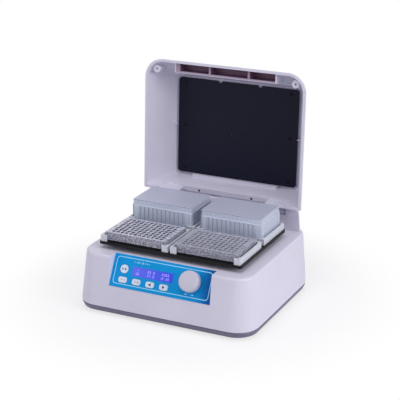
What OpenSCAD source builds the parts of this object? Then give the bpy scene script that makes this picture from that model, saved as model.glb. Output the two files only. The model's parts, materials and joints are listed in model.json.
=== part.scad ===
// Benchtop microplate incubator with an orbital shaking platform for four plates and a deep heated lid.
// Built in millimetres. +X is the right side seen from the front, +Y the rear, +Z up.
// The drawing frame below starts at the front edge of the base; place() carries it to the part's origin.

/* [Base] */
// Width of the base at the seam above the tray
base_w = 357.5; // [350:0.5:380]
// Depth of the base
base_d = 298; // [296:0.5:310]
// Height of the seam between tray and housing
tray_h = 14.4; // [12:0.2:18]
// Height of the deck that the lid closes on
deck_z = 110.5; // [106:0.5:112]
// Width of the deck
deck_w = 338.7; // [336:0.1:346]
// Setback of the deck's front edge from the base's front edge
deck_front = 14.8; // [10:0.1:18]
// Corner radius at the seam
base_r = 42; // [30:1:48]
// Corner radius at the deck
deck_r = 34; // [26:1:38]
// Wall thickness of the mouldings
wall = 3; // [2.4:0.1:3.6]
// Height of the rubber feet below the tray
foot_h = 2.5; // [2:0.5:5]
// Diameter of a rubber foot
foot_d = 22; // [16:1:28]
// Inset of the feet from the tray's sides
foot_inset = 40; // [34:1:50]

/* [Control panel] */
// Centre of the sloping panel across the base
panel_x = -3; // [-6:0.5:6]
// Width of the panel recess
panel_w = 205; // [200:1:210]
// Height at which the recess starts in the front wall
panel_low = 56; // [52:0.5:60]
// Lean of the panel back from upright
panel_tilt = 29.3; // [24:0.1:32]
// Thickness of the printed overlay
overlay_t = 0.8; // [0.4:0.1:1.2]
// Width of the display window
lcd_w = 83.4; // [76:0.2:88]
// Height of the display window
lcd_h = 17.8; // [16:0.2:19]
// Display centre left of the panel's centre
lcd_x = -19.8; // [-22:0.2:-16]
// Display centre up the panel's slope
lcd_s = 34; // [33:0.5:35]
// Diameter of the round key
start_d = 16; // [13:0.5:17]
// Width of a long key
key_w = 17; // [14:0.5:19]
// Height of a long key
key_h = 11; // [9:0.5:12]
// Spacing of the long keys
key_pitch = 28; // [26:0.5:29]
// First long key left of the panel's centre
key_x0 = -77; // [-79:0.5:-75]
// Row of long keys up the slope
key_s = 15.2; // [14:0.2:16]
// Round key's row up the slope
start_s = 35; // [34:0.5:36]
// How far a key stands proud of the overlay
key_proud = 1.2; // [0.8:0.1:2]
// How far a key travels
key_travel = 0.5; // [0.3:0.1:0.6]
// Knob diameter
knob_d = 39.4; // [34:0.2:41]
// Knob height
knob_h = 14; // [12:0.5:18]
// Knob centre right of the panel's centre
knob_x = 58.5; // [56:0.5:62]
// Knob centre up the slope
knob_s = 34.2; // [32:0.2:36]
// Frame of the housing left round the panel opening
panel_frame = 5; // [4:0.5:6]
// How far the knob pushes in
knob_travel = 0.6; // [0.4:0.1:0.8]
// Gap between a moving control and its opening
control_gap = 0.3; // [0.2:0.05:0.5]

/* [Shaking platform] */
// Platform width
plat_w = 288; // [286:1:292]
// Platform depth
plat_d = 199.5; // [198:0.5:203]
// Height of the platform's top face above the tray's underside
plat_z = 124.6; // [123:0.2:126]
// Platform thickness
plat_t = 5; // [4:0.5:6]
// Platform centre behind the base's front edge
plat_y = 141.2; // [140:0.2:143]
// Orbit diameter of the shaking motion
orbit_d = 2; // [1:0.5:3]
// Spacing of the idler cranks across the platform
idler_sx = 210; // [190:2:220]
// Spacing of the idler cranks along the platform
idler_sy = 130; // [120:2:136]
// Crank shaft diameter
shaft_d = 10; // [8:0.5:11]
// Crank pin diameter
pin_d = 8; // [6:0.5:9]
// Radial running clearance of the shafts
run_gap = 0.05; // [0.02:0.01:0.08]
// Motor diameter
motor_d = 64; // [50:1:70]
// Motor height
motor_h = 44; // [36:1:46]

/* [Plate nests] */
// Microplate footprint length
plate_l = 127.76; // [127.26:0.02:128.26]
// Microplate footprint width
plate_wd = 85.48; // [84.98:0.02:85.98]
// Gap between a plate's skirt and its rails
nest_gap = 0.4; // [0.3:0.05:0.6]
// Rail width outside the plate
rail_w = 5; // [4:0.1:6]
// Rail height above the platform
rail_h = 12.4; // [10:0.2:14]
// Thickness of the rail ends that hold the plate front and rear
lug_t = 2.8; // [2:0.1:3.2]
// How far a rail end reaches along the plate's edge
lug_l = 7; // [5:0.5:9]
// Gap between the two inner rails
rail_split = 5; // [5:0.5:8]
// Gap between the front and rear nests' rails
nest_split = 12.4; // [11:0.2:14]
// Thickness of the heated pad under each plate
pad_t = 3.5; // [2.5:0.1:4]

/* [Plates] */
// Well spacing
well_pitch = 9; // [9:1:9]
// Height of a shallow well plate
plate_h = 14.35; // [14.2:0.05:14.5]
// Well diameter of a shallow plate
well_d = 6.86; // [6.4:0.02:7]
// Well depth of a shallow plate
well_depth = 10.7; // [10:0.1:11]
// Height of a deep well plate
deep_h = 41.9; // [38:0.1:42]
// Width of a square deep well
deep_well = 8; // [7.6:0.1:8.2]
// Thickness of the sealing mat on a deep well plate
mat_t = 2.2; // [1.8:0.1:2.4]
// Height of the loose cover on the shallow plate
cover_h = 6.6; // [5.6:0.1:6.8]
// Height of the wider rim round the top of a deep well plate
deep_rim = 9; // [7:0.5:12]

/* [Lid] */
// Width of the lid at its rim
lid_w = 333.3; // [330:0.1:334]
// Front edge of the lid behind the base's front edge when closed
lid_front = 12; // [11.5:0.5:14]
// Rear edge of the lid behind the base's front edge when closed
lid_rear = 270.4; // [269.5:0.1:270.6]
// Height of the lid from rim to top
lid_h = 79.5; // [78:0.5:84]
// Corner radius of the lid's front corners
lid_r = 37; // [30:1:42]
// Wall thickness of the lid
lid_wall = 5; // [4:0.5:5.5]
// Inward slope of the sides and front over the lid's height
lid_taper = 29.5; // [26:0.5:30]
// Gap between the closed rim and the deck
rim_gap = 0.6; // [0.4:0.1:1]
// Opening angle of the lid
lid_open = 94; // [90:1:95]
// Hinge axis behind the base's front edge
hinge_y = 286; // [285.5:0.1:286.5]
// Hinge axis height
hinge_z = 140.6; // [140:0.1:141.5]
// Hinge pin diameter
hinge_d = 8; // [6:0.5:8]
// Radius of a hinge arm
arm_r = 8.5; // [8:0.1:9]
// Width of a hinge arm
arm_w = 28; // [24:1:30]
// Centre of a hinge arm from the middle of the lid
arm_x = 112; // [110:1:114]
// Width of the lid's heater plate
heat_w = 254.4; // [250:0.2:256]
// Depth of the lid's heater plate
heat_d = 191; // [188:0.5:192]
// Thickness of the lid's heater plate
heat_t = 3; // [2:0.2:4]
// Heater plate's face above the rim
heat_z = 67.5; // [67:0.5:68]
// Front edge of the heater plate behind the base's front edge
heat_front = 56.5; // [55.5:0.5:57.5]
// Width of the grip block inside the lid's front wall
grip_w = 211; // [206:1:214]
// Depth of the grip block from the lid's front
grip_d = 24; // [22:0.5:26]
// Grip block's face above the rim
grip_up = 6; // [4:0.5:8]
// Depth of the finger pockets
grip_deep = 20; // [14:1:24]

/* [Hinge housing] */
// Height of the hinge housing's top
hump_z = 152; // [150:0.5:153]
// Front face of the hinge housing at the deck
hump_front = 272.2; // [272:0.1:273]
// Half width of the hinge housing at the deck
hump_half = 159; // [156:0.5:159.5]

/* [Rear connections] */
// Mains inlet centre, from the middle
inlet_x = -95; // [-100:1:-88]
// Mains switch centre, from the middle
switch_x = -56; // [-60:1:-50]
// Height of the inlet and switch centres
rear_z = 50; // [44:1:56]

/* [Hidden] */
$fn = 48;

eps = 0.01;
e = orbit_d / 2;
// hinge offset of the rim, and the rearmost point of the open lid, which fix the part's middle
rim_z = deck_z + rim_gap;
lid_top = rim_z + lid_h;
open_rear = hinge_y + (hinge_y - lid_front - lid_taper - 15) * sin(lid_open - 90)
    + (lid_top - hinge_z) * cos(lid_open - 90);
y_mid = open_rear / 2;
front_slope = deck_front / (deck_z - tray_h);
panel_y = (panel_low - tray_h) * front_slope;
panel_len = (deck_z - panel_low) / cos(panel_tilt);
nest_x = rail_split / 2 + rail_w + nest_gap + plate_l / 2;
nest_y = nest_split / 2 + lug_t + nest_gap + plate_wd / 2;
pad_z = plat_z + pad_t;
boss_x = 144;
boss_y = lid_front + 20.5;
notch_w = 2 * (arm_x - 21);
shell_inner = lid_h - 3.6;
mount_z = deck_z - 20;

function slope_at(w) = lid_taper * w / 68;

module place() { translate([0, -y_mid, foot_h]) children(); }
module opened() {
    translate([0, hinge_y, hinge_z]) rotate([-lid_open, 0, 0])
        translate([0, -hinge_y, -hinge_z]) children();
}
module on_panel(x, s) {
    translate([panel_x + x, panel_y + s * sin(panel_tilt), panel_low + s * cos(panel_tilt)])
        rotate([90 - panel_tilt, 0, 0]) children();
}
// rectangle from y0 to y1 with front corners of radius rf and rear corners of radius rr
module outline(w, y0, y1, rf, rr) {
    union() {
        translate([-w / 2, y0 + rf]) square([w, y1 - rr - y0 - rf]);
        translate([-w / 2 + rf, y0]) square([w - 2 * rf, rf + 1]);
        translate([-w / 2 + rr, y1 - rr - 1]) square([w - 2 * rr, rr + 1]);
        for (s = [-1, 1]) {
            translate([s * (w / 2 - rf), y0 + rf]) circle(r = rf, $fn = 32);
            translate([s * (w / 2 - rr), y1 - rr]) circle(r = rr, $fn = 32);
        }
    }
}
// rounded rectangle about its centre, for flat plates
module rrect(w, d, r) {
    union() {
        square([w - 2 * r, d], center = true);
        square([w, d - 2 * r], center = true);
        for (x = [-1, 1]) for (y = [-1, 1])
            translate([x * (w / 2 - r), y * (d / 2 - r)]) circle(r = r);
    }
}
module slab(w, d, r, h) { linear_extrude(h) rrect(w, d, r); }
module slice(z, w, y0, y1, rf, rr) {
    translate([0, 0, z]) linear_extrude(eps) outline(w, y0, y1, rf, rr);
}

// ---- base ----
module base_form(t, z0, z1) {
    // tapered housing, inset by t all round, between two heights
    g = 4 - min(t, 1);
    hull() {
        slice(z0, base_w - 2 * t, t, base_d - t, base_r - t, base_r + 6 - t);
        slice(z1 - g, deck_w + 0.9 - 2 * t, deck_front - 0.6 + t, base_d - t, deck_r - t, deck_r + 6 - t);
        slice(z1 - g * 0.3, deck_w - 1.4 - 2 * t, deck_front + 0.5 + t, base_d - t - 0.6,
            deck_r - t - 1, deck_r + 5 - t);
        slice(z1 - eps, deck_w - 6 - 2 * t, deck_front + 2.4 + t, base_d - t - 3, deck_r - t - 3,
            deck_r + 3 - t);
    }
}
module hump_form(top) {
    hull() {
        translate([0, 0, deck_z]) linear_extrude(eps) hump_outline(0, 0);
        translate([0, 0, top - 5]) linear_extrude(eps) hump_outline(1, 0);
        translate([0, 0, top - eps]) linear_extrude(eps) hump_outline(1, 3);
    }
}
module hump_outline(up, round_in) {
    intersection() {
        outline(2 * (hump_half + 5) - 5 * up - 2 * round_in, 100, base_d - 3 - up - round_in, 20, deck_r + 2);
        translate([-hump_half + 3 * up + round_in, hump_front + 2.2 * up + round_in])
            square([2 * (hump_half - 3 * up - round_in), 60]);
    }
}
module panel_prism(back) {
    // everything in front of the sloping panel plane, moved back by the given distance
    c = back / cos(panel_tilt);
    translate([0, 0, 0]) rotate([90, 0, 90])
        linear_extrude(panel_w, center = true)
            polygon([[panel_y - 40, panel_low - 40 * 0.02], [panel_y + c, panel_low],
                [panel_y + c + (deck_z + 12 - panel_low) * tan(panel_tilt), deck_z + 12],
                [panel_y - 40, deck_z + 12]]);
}
module panel_cuts(depth) {
    on_panel(key_x0 - 0.8, start_s) translate([0, 0, -depth])
        cylinder(d = start_d + 2 * control_gap, h = depth + 3);
    for (i = [0:3]) on_panel(key_x0 + i * key_pitch, key_s) translate([0, 0, -depth])
        slab(key_w + 2 * control_gap, key_h + 2 * control_gap, 4.2, depth + 3);
    on_panel(lcd_x, lcd_s) translate([-lcd_w / 2, -lcd_h / 2, -depth]) cube([lcd_w, lcd_h, depth + 3]);
    on_panel(knob_x, knob_s) translate([0, 0, -depth]) cylinder(d = 10, h = depth + 3);
}
// the opening behind the panel, from depth behind its plane, made smaller all round by less
module panel_opening(depth, less, h) {
    on_panel(0, panel_len / 2) translate([0, 0, -depth])
        slab(panel_w - 2 * panel_frame - 2 * less, panel_len - 2 * panel_frame - 2 * less, 3 - min(less, 2), h);
}
module base_housing() color([0.80, 0.79, 0.86]) place() {
    difference() {
        base_form(0, tray_h, deck_z);
        difference() {
            base_form(wall, tray_h - 1, deck_z - wall);
            translate([panel_x, 0, 0]) panel_back();
        }
        translate([panel_x, 0, 0]) panel_prism(0);
        panel_opening(20, 0, 22);
        // shaft openings in the deck
        translate([0, plat_y, deck_z - 20]) cylinder(r = shaft_d / 2 + 10, h = 30);
        for (x = [-1, 1]) for (y = [-1, 1])
            translate([x * idler_sx / 2, plat_y + y * idler_sy / 2, deck_z - 20])
                cylinder(r = shaft_d / 2 + 10, h = 30);
        // rear openings for the inlet and the switch
        translate([inlet_x - 14.3, base_d - 10, rear_z - 10.3]) cube([28.6, 20, 20.6]);
        translate([switch_x - 7.8, base_d - 10, rear_z - 10.8]) cube([15.6, 20, 21.6]);
    }
}
module hinge_housing() color([0.80, 0.79, 0.86]) place() {
    difference() {
        hump_form(hump_z);
        // hollow between the cheeks
        for (x = [[-hump_half + 12, 14], [-84, 168], [hump_half - 26, 14]])
            translate([x[0], hump_front + 6, deck_z - 1]) cube([x[1], 13, hump_z - deck_z - wall]);
        // pockets for the two hinge arms, and the pin bores through their cheeks
        for (s = [-1, 1]) translate([s * arm_x - arm_w / 2 - 3, 0, 0]) {
            translate([0, hump_front - 4, hinge_z - 1.6]) cube([arm_w + 6, 40, 30]);
            translate([0, hinge_y, hinge_z - arm_r + 1]) cube([arm_w + 6, 40, 30]);
            translate([0, hinge_y, hinge_z]) rotate([0, 90, 0]) cylinder(r = arm_r + 1.6, h = arm_w + 6);
            translate([-6, hinge_y, hinge_z]) rotate([0, 90, 0]) cylinder(d = hinge_d, h = arm_w + 18);
        }
    }
}
// the moulding's thickness behind the panel plane
module panel_back() {
    c = wall / cos(panel_tilt);
    low = wall + 3;
    rotate([90, 0, 90]) linear_extrude(panel_w + 2 * wall, center = true)
        polygon([[-40, panel_low - low], [panel_y + c - low * tan(panel_tilt), panel_low - low],
            [panel_y + c + (deck_z + 12 - panel_low) * tan(panel_tilt), deck_z + 12],
            [-40, deck_z + 12]]);
}
module tray_form(t, z0) {
    hull() {
        slice(z0, base_w - 22 - 2 * t, 11 + t, base_d - 11 - t, base_r - 11 - t, base_r - 5 - t);
        slice(z0 + 3.2, base_w - 8 - 2 * t, 4 + t, base_d - 4 - t, base_r - 4 - t, base_r + 2 - t);
        slice(tray_h - 3.4, base_w - 1.4 - 2 * t, 0.7 + t, base_d - 0.7 - t, base_r - 0.7 - t, base_r + 5.3 - t);
        slice(tray_h - eps, base_w - 5 - 2 * t, 2.5 + t, base_d - 2.5 - t, base_r - 2.5 - t, base_r + 3.5 - t);
    }
}
module bottom_tray() color([0.42, 0.41, 0.49]) place() {
    difference() {
        tray_form(0, 0);
        tray_form(wall, wall);
        translate([0, 0, tray_h - 2]) linear_extrude(3)
            outline(base_w - 12, 6, base_d - 6, base_r - 6, base_r);
        for (p = feet()) translate([p[0], p[1], -1]) cylinder(d = 4.4, h = 10);
    }
    for (p = tray_bosses()) translate([p[0], p[1], wall]) difference() {
        translate([0, 0, -0.5]) cylinder(d = 12, h = tray_h - wall);
        translate([0, 0, -1]) cylinder(d = 3.4, h = 30);
    }
}
function feet() = [for (x = [-1, 1]) for (y = [0, 1])
    [x * (base_w / 2 - foot_inset), y ? base_d - foot_inset : foot_inset]];
function tray_bosses() = [for (x = [-1, 1]) for (y = [-1, 1])
    [x * (idler_sx / 2 + 22), plat_y + y * (idler_sy / 2 + 14)]];
module rubber_feet() color([0.12, 0.12, 0.13]) place() {
    for (p = feet()) translate([p[0], p[1], 0]) difference() {
        translate([0, 0, -foot_h]) cylinder(d1 = foot_d - 3, d2 = foot_d, h = foot_h);
        translate([0, 0, -foot_h - 1]) cylinder(d = 9, h = foot_h + 0.1);
        translate([0, 0, -foot_h - 1]) cylinder(d = 4.4, h = foot_h + 2);
    }
}
module tray_screws() color([0.6, 0.61, 0.64]) place() {
    for (p = feet()) translate([p[0], p[1], 0]) {
        difference() {
            translate([0, 0, -foot_h + 0.4]) cylinder(d = 7.4, h = foot_h - 1.3);
            translate([0, 0, -foot_h - 1]) cylinder(d = 2.6, h = 2, $fn = 6);
        }
        translate([0, 0, -0.91]) cylinder(d = 4.3, h = wall + 6);
    }
}

// ---- drive inside the base ----
module chassis_plate() color([0.62, 0.64, 0.68]) place() {
    translate([0, plat_y, mount_z]) difference() {
        slab(idler_sx + 70, idler_sy + 46, 8, 4);
        translate([0, 0, -1]) cylinder(d = shaft_d + 12, h = 6);
        for (x = [-1, 1]) for (y = [-1, 1])
            translate([x * idler_sx / 2, y * idler_sy / 2, -1]) cylinder(d = shaft_d + 12, h = 6);
        for (x = [-1, 1]) translate([x * idler_sx / 4, 0, -1]) slab(idler_sx / 4, idler_sy * 0.6, 8, 6);
    }
}
module chassis_posts() color([0.7, 0.71, 0.74]) place() {
    for (p = tray_bosses()) translate([p[0], p[1], tray_h - 0.5]) {
        cylinder(d = 10, h = mount_z - tray_h + 0.5, $fn = 48);
    }
}
module bearing_block() {
    difference() {
        union() {
            translate([0, 0, 4]) cylinder(d = 34, h = 3);
            translate([0, 0, -2]) cylinder(d = shaft_d + 11.8, h = 13);
        }
        translate([0, 0, -3]) cylinder(d = shaft_d + 2 * run_gap, h = 20);
    }
}
module bearing_blocks() color([0.55, 0.57, 0.6]) place() {
    translate([0, plat_y, mount_z]) bearing_block();
    for (x = [-1, 1]) for (y = [-1, 1])
        translate([x * idler_sx / 2, plat_y + y * idler_sy / 2, mount_z]) bearing_block();
}
module drive_motor() color([0.28, 0.29, 0.32]) place() {
    translate([0, plat_y, mount_z - 18 - motor_h]) difference() {
        union() {
            cylinder(d = motor_d, h = motor_h - 4);
            translate([0, 0, motor_h - 4]) cylinder(d = motor_d + 22, h = 4);
        }
        translate([0, 0, 8]) cylinder(d = shaft_d + 2 * run_gap, h = motor_h);
        for (a = [0:15:345]) rotate(a) translate([motor_d / 2 + 0.6, 0, 6]) cylinder(d = 3, h = motor_h - 16);
    }
}
module motor_standoffs() color([0.7, 0.71, 0.74]) place() {
    for (a = [45:90:315]) translate([0, plat_y, mount_z - 18]) rotate(a)
        translate([motor_d / 2 + 6, 0, 0]) cylinder(d = 7, h = 18);
}
module crank_form(low) {
    translate([0, 0, low]) cylinder(d = shaft_d, h = deck_z - 2 - low);
    translate([0, 0, deck_z - 2.5]) cylinder(d = shaft_d + 8, h = 2.5);
    translate([-e, 0, deck_z - eps]) cylinder(d = pin_d, h = plat_z - 3 - deck_z);
}
module drive_crank() color([0.72, 0.73, 0.76]) place() translate([0, plat_y, 0])
    crank_form(mount_z - 18 - motor_h + 9);
module counterweight() color([0.72, 0.62, 0.36]) place() translate([0, plat_y, mount_z - 12]) difference() {
    union() {
        cylinder(d = shaft_d + 8, h = 8);
        intersection() {
            cylinder(r = 27, h = 8);
            translate([0, -30, 0]) cube([30, 60, 8]);
        }
    }
    translate([0, 0, -1]) cylinder(d = shaft_d + 0.04, h = 10);
}
module idler(x, y) color([0.72, 0.73, 0.76]) place()
    translate([x * idler_sx / 2, plat_y + y * idler_sy / 2, 0]) crank_form(mount_z - 1);
module idler_front_left() { idler(-1, -1); }
module idler_front_right() { idler(1, -1); }
module idler_rear_left() { idler(-1, 1); }
module idler_rear_right() { idler(1, 1); }

// ---- platform, pins stand one crank throw to the left at rest ----
module on_pins() {
    translate([-e, plat_y, 0]) children();
    for (x = [-1, 1]) for (y = [-1, 1])
        translate([x * idler_sx / 2 - e, plat_y + y * idler_sy / 2, 0]) children();
}
module platform_plate() color([0.1, 0.1, 0.12]) place() {
    difference() {
        union() {
            translate([0, plat_y, plat_z - plat_t]) slab(plat_w, plat_d, 4, plat_t);
            on_pins() translate([0, 0, deck_z + 1.5]) cylinder(d = pin_d + 12, h = plat_z - plat_t - deck_z - 1);
        }
        on_pins() translate([0, 0, deck_z + 1]) cylinder(d = pin_d + 2 * run_gap, h = plat_z - 2.5 - deck_z - 1);
        rail_holes(3.2);
    }
}
module rail_holes(d) {
    for (x = [-1, 1]) for (y = [-1, 1]) for (s = [-1, 1]) for (v = [-1, 1])
        translate([x * nest_x + s * (plate_l / 2 + nest_gap + rail_w / 2), plat_y + y * nest_y + v * 30,
            plat_z - plat_t - 1]) cylinder(d = d, h = plat_t + 7, $fn = 24);
}
module rail() {
    // drawn for the side at +X of a nest; the ends turn inward round the plate's corners
    t = plate_l / 2 + nest_gap;
    w = plate_wd / 2 + nest_gap;
    difference() {
        translate([t, -w - lug_t, 0]) cube([rail_w, 2 * (w + lug_t), rail_h]);
        // relief that leaves the upper part of the rail a thin wall
        translate([t - 1, -w + 6, rail_h - 5]) cube([rail_w - 1.8, 2 * w - 12, 6]);
        for (v = [-1, 1]) translate([t + rail_w / 2, v * 30, -1]) cylinder(d = 2.6, h = 6, $fn = 24);
    }
    for (v = [-1, 1]) translate([t - lug_l, v > 0 ? w : -w - lug_t, 0]) cube([lug_l + 0.5, lug_t, rail_h]);
}
module nest_rails() color([0.81, 0.83, 0.86]) place() {
    for (x = [-1, 1]) for (y = [-1, 1]) translate([x * nest_x, plat_y + y * nest_y, plat_z]) {
        rail();
        mirror([1, 0, 0]) rail();
    }
}
module nest_pads() color([0.13, 0.13, 0.15]) place() {
    for (x = [-1, 1]) for (y = [-1, 1]) translate([x * nest_x, plat_y + y * nest_y, plat_z])
        slab(plate_l - 2, plate_wd - 2, 3, pad_t);
}
module rail_screws() color([0.6, 0.61, 0.64]) place() {
    for (x = [-1, 1]) for (y = [-1, 1]) for (s = [-1, 1]) for (v = [-1, 1])
        translate([x * nest_x + s * (plate_l / 2 + nest_gap + rail_w / 2), plat_y + y * nest_y + v * 30,
            plat_z - plat_t - 1.6]) {
            cylinder(d = 5.4, h = 1.6, $fn = 24);
            cylinder(d = 2.6, h = 10.5, $fn = 24);
        }
}

// ---- plates ----
module nest(x, y) { place() translate([x * nest_x, plat_y + y * nest_y, pad_z]) children(); }
module deep_plate() {
    step = deep_h - deep_rim;
    difference() {
        union() {
            slab(plate_l, plate_wd, 3.2, 3);
            translate([0, 0, 2]) slab(plate_l - 1.2, plate_wd - 1.2, 3, step - 2);
            translate([0, 0, step - 0.5]) slab(plate_l - 4, plate_wd - 4, 2, deep_rim + 0.5);
        }
        // grooves between the wells on all four outer walls
        for (i = [1:11]) for (s = [-1, 1])
            translate([(i - 6) * well_pitch, s * (plate_wd / 2 - 0.4), 3]) cylinder(d = 3.2, h = step - 4, $fn = 16);
        for (j = [1:7]) for (s = [-1, 1])
            translate([s * (plate_l / 2 - 0.4), (j - 4) * well_pitch, 3]) cylinder(d = 3.2, h = step - 4, $fn = 16);
        // the two chamfered corners at the left
        for (s = [-1, 1]) translate([-plate_l / 2 + 2, s * (plate_wd / 2 - 2), 3]) rotate(45)
            translate([-2.6, -2.6, 0]) cube([5.2, 5.2, deep_h]);
        for (i = [0:11]) for (j = [0:7])
            translate([(i - 5.5) * well_pitch - deep_well / 2, (j - 3.5) * well_pitch - deep_well / 2, 2.4])
                cube([deep_well, deep_well, deep_h]);
    }
}
module deep_mat() {
    translate([0, 0, deep_h]) slab(plate_l - 5, plate_wd - 5, 2, mat_t);
}
module deep_plate_left() color([0.70, 0.74, 0.80]) nest(-1, 1) deep_plate();
module deep_plate_right() color([0.70, 0.74, 0.80]) nest(1, 1) deep_plate();
module deep_mat_left() color([0.68, 0.71, 0.78]) nest(-1, 1) deep_mat();
module deep_mat_right() color([0.68, 0.71, 0.78]) nest(1, 1) deep_mat();
module shallow_plate() {
    difference() {
        union() {
            slab(plate_l, plate_wd, 3.2, 2.5);
            translate([0, 0, 2]) slab(plate_l - 4, plate_wd - 4, 2.4, plate_h - 2);
        }
        translate([0, 0, -1]) slab(plate_l - 7, plate_wd - 7, 2, 2.6);
        for (i = [0:11]) for (j = [0:7])
            translate([(i - 5.5) * well_pitch, (j - 3.5) * well_pitch, plate_h - well_depth])
                cylinder(d = well_d, h = well_depth + 1, $fn = 24);
    }
}
module well_plate_left() color([0.78, 0.80, 0.86, 0.7]) nest(-1, -1) shallow_plate();
module well_plate_right() color([0.62, 0.63, 0.70, 0.7]) nest(1, -1) shallow_plate();
module plate_cover() color([0.7, 0.72, 0.78, 0.5]) nest(1, -1) {
    translate([0, 0, plate_h + 0.1 - cover_h + 1.6]) difference() {
        slab(plate_l - 0.6, plate_wd - 0.6, 3, cover_h);
        translate([0, 0, -1]) slab(plate_l - 3.4, plate_wd - 3.4, 2.6, cover_h - 0.6);
    }
}

// ---- lid, drawn closed and swung open about the hinge ----
module lid_level(w, side, rear, t) {
    translate([0, 0, rim_z + w]) linear_extrude(eps)
        outline(lid_w - 2 * side - 2 * t, lid_front + side + t, lid_rear - rear - t,
            max(6, lid_r - side * 0.45 - t), 3);
}
module lid_form(t, top) {
    hull() {
        lid_level(t > 0 ? -1 : 0, 0, 0, t);
        lid_level(5, 0.6, 0.5, t);
        lid_level(68, slope_at(68), 12.5, t);
        lid_level(top - 4, slope_at(68) + (t > 0 ? 1.5 : 6), t > 0 ? 13.5 : 16, t);
        lid_level(top - eps, slope_at(68) + (t > 0 ? 11 : 15), t > 0 ? 20 : 24, t);
    }
}
module lid_shell() color([0.80, 0.79, 0.86]) place() opened() {
    difference() {
        union() {
            difference() {
                union() {
                    lid_form(0, lid_h);
                    // hinge arms
                    for (s = [-1, 1]) translate([s * arm_x - arm_w / 2, 0, 0]) arm_profile();
                }
                lid_form(lid_wall, shell_inner);
            }
            intersection() {
                lid_form(0, lid_h);
                union() {
                    // grip block across the front wall
                    translate([-grip_w / 2, lid_front, rim_z + grip_up]) cube([grip_w, grip_d, 34]);
                    // bosses in the front corners
                    for (s = [-1, 1]) translate([s * boss_x, boss_y, rim_z + 5]) cylinder(d = 15, h = 45);
                    // thin ribs from the side walls to the heater plate
                    for (s = [-1, 1]) translate([s * (heat_w / 2 + 12.8) - 12, heat_front + heat_d / 2 - 0.6,
                        rim_z + heat_z - 4]) cube([24, 1.2, 10]);
                    // ledge along the rear wall, just behind the heater plate
                    translate([-notch_w / 2, heat_front + heat_d + 0.7, rim_z + heat_z - 7.5])
                        cube([notch_w, 10, 14]);
                }
            }
            // rear bar between the hinge openings
            translate([-notch_w / 2, lid_rear - 7.6, rim_z + 20]) cube([notch_w, 8.4, 10]);
        }
        // notch of the rear wall, and the holes for the hinge pins
        translate([-notch_w / 2, lid_rear - 20, rim_z - 1]) cube([notch_w, 30, 21]);
        for (s = [-1, 1]) {
            translate([s * arm_x - arm_w / 2 - 1, hinge_y, hinge_z]) rotate([0, 90, 0])
                cylinder(d = hinge_d + 2 * run_gap, h = arm_w + 2);
            translate([s * boss_x, boss_y, rim_z + 4]) cylinder(d = 3.4, h = 14);
            translate([s * 56, lid_rear - 2.4, rim_z + 19]) cylinder(d = 5, h = 6);
        }
        // three finger pockets open towards the rim, and the shallow recess in front of each arm
        intersection() {
            union() {
                for (p = [[-grip_w / 2 + 11, 61], [-grip_w / 2 + 75.5, 77], [-grip_w / 2 + 156.5, 51.5]])
                    translate([p[0], lid_front, rim_z + grip_up - 1]) cube([p[1], grip_d - 3.5, grip_deep + 1]);
                for (s = [-1, 1]) translate([s * arm_x - 21, lid_rear - 20, rim_z - 2]) cube([42, 30, 27]);
            }
            lid_form(lid_wall - 2.6, lid_h);
        }
        translate([-grip_w / 2, lid_front + lid_wall, rim_z - 2]) cube([grip_w, grip_d, grip_up + 2]);
    }
}
module arm_profile() {
    // a bar a little narrower than its two round ends, both ways
    rise = hinge_z + 26;
    back = hinge_y - 27;
    half = arm_r - 0.8;
    translate([0, hinge_y, hinge_z]) rotate([0, 90, 0]) cylinder(r = arm_r, h = arm_w);
    translate([0, back, rise]) rotate([0, 90, 0]) cylinder(r = arm_r, h = arm_w);
    translate([0, hinge_y, hinge_z]) rotate([atan2(26, -27), 0, 0])
        translate([0.5, 0, -half]) cube([arm_w - 1, norm([27, 26]), 2 * half]);
}
module lid_liner() color([0.72, 0.70, 0.79]) place() opened() {
    translate([0, heat_front + heat_d / 2 - 2, rim_z + heat_z + heat_t]) difference() {
        slab(heat_w + 1, heat_d + 4, 16, 2.4);
        heater_holes(3);
    }
}
module lid_insulation() color([0.9, 0.86, 0.7]) place() opened() {
    translate([0, heat_front + heat_d / 2, rim_z + heat_z + heat_t + 2.4])
        slab(heat_w - 30, heat_d - 22, 8, shell_inner - heat_z - heat_t - 2.8);
}
module heater_holes(d) {
    for (x = [-1, 1]) for (y = [-1, 0, 1])
        translate([x * 111, 2 + y * (heat_d / 2 - 10), -1]) cylinder(d = d, h = 8, $fn = 24);
}
module lid_heater_plate() color([0.11, 0.11, 0.15]) place() opened() {
    translate([0, heat_front + heat_d / 2, rim_z + heat_z]) difference() {
        slab(heat_w, heat_d, 6, heat_t);
        translate([0, -2, 0]) heater_holes(3.2);
        for (x = [-1, 1]) for (y = [-1, 1])
            translate([-4 + x * 8.2, y * 8.2, -1]) cylinder(d = 3, h = heat_t + 2, $fn = 24);
        for (x = [-38, 46]) translate([x - 4, -heat_d / 2 - 1, -1]) cube([8, 4.5, heat_t + 2]);
    }
}
module heater_screws() color([0.07, 0.07, 0.08]) place() opened() {
    for (x = [-1, 1]) for (y = [-1, 0, 1])
        translate([x * 111, heat_front + heat_d / 2 + y * (heat_d / 2 - 10), rim_z + heat_z - 1.4]) {
            cylinder(d = 5.6, h = 1.4, $fn = 24);
            cylinder(d = 3, h = 6, $fn = 24);
        }
}
module corner_screws() color([0.25, 0.24, 0.28]) place() opened() {
    for (s = [-1, 1]) {
        translate([s * boss_x, boss_y, rim_z + 6.5]) cylinder(d = 3.3, h = 11.5, $fn = 24);
        translate([s * 56, lid_rear - 2.4, rim_z + 21.5]) cylinder(d = 4.9, h = 3.5, $fn = 24);
    }
}
module hinge_pins() color([0.66, 0.67, 0.7]) place() {
    for (s = [-1, 1]) translate([s * arm_x - arm_w / 2 - 9, hinge_y, hinge_z]) rotate([0, 90, 0])
        cylinder(d = hinge_d - 0.04, h = arm_w + 18);
}

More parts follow.
